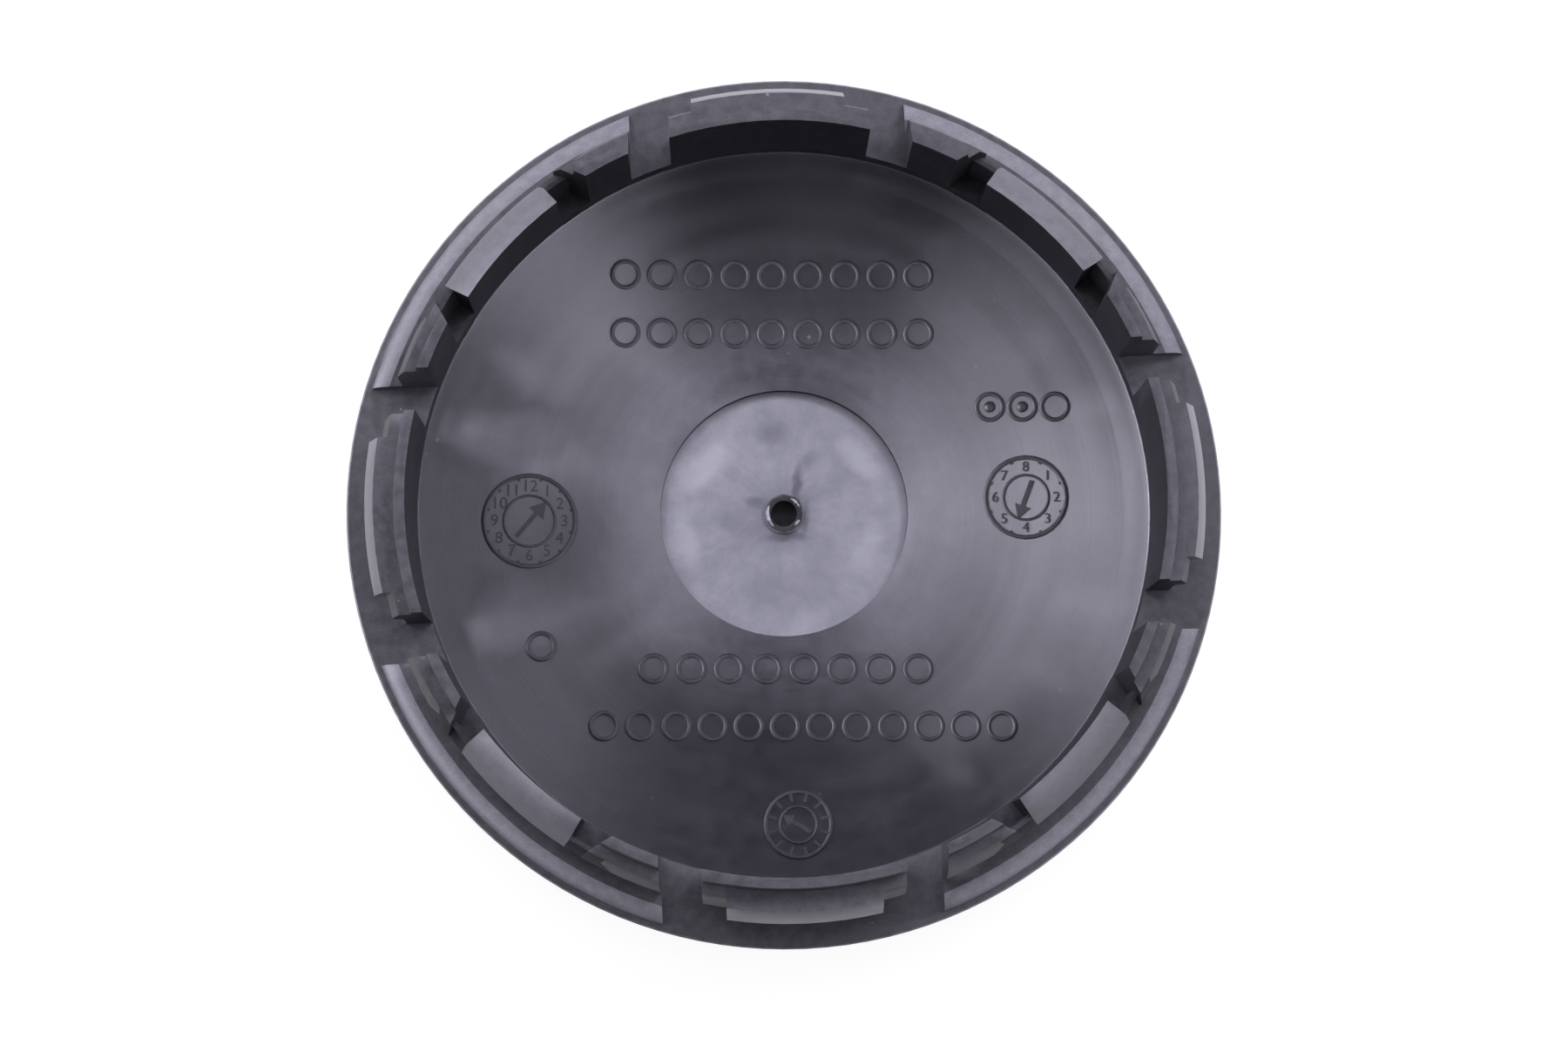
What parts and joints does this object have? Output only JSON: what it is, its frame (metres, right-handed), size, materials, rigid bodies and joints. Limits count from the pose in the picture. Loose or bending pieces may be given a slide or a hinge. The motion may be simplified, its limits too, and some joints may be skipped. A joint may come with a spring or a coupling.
{
  "type": "wheel centre cap",
  "caption": "Round moulded cap with a domed front, a rim flange and a ring of snap clips on its back, which closes the centre bore of a car wheel.",
  "frame": {"origin": "centre of the cap, at the lowest point of its domed front", "axes": "+Z along the cap's axis from the front towards the clip tips, +X through the middle of one clip, +Y through the middle of the next"},
  "size_m": [0.056, 0.056, 0.0119],
  "materials": {
    "black_nylon": "moulded glass-filled nylon, satin, blue-black"
  },
  "bodies": {
    "root": {"cap": "black_nylon"}
  },
  "joints": []
}
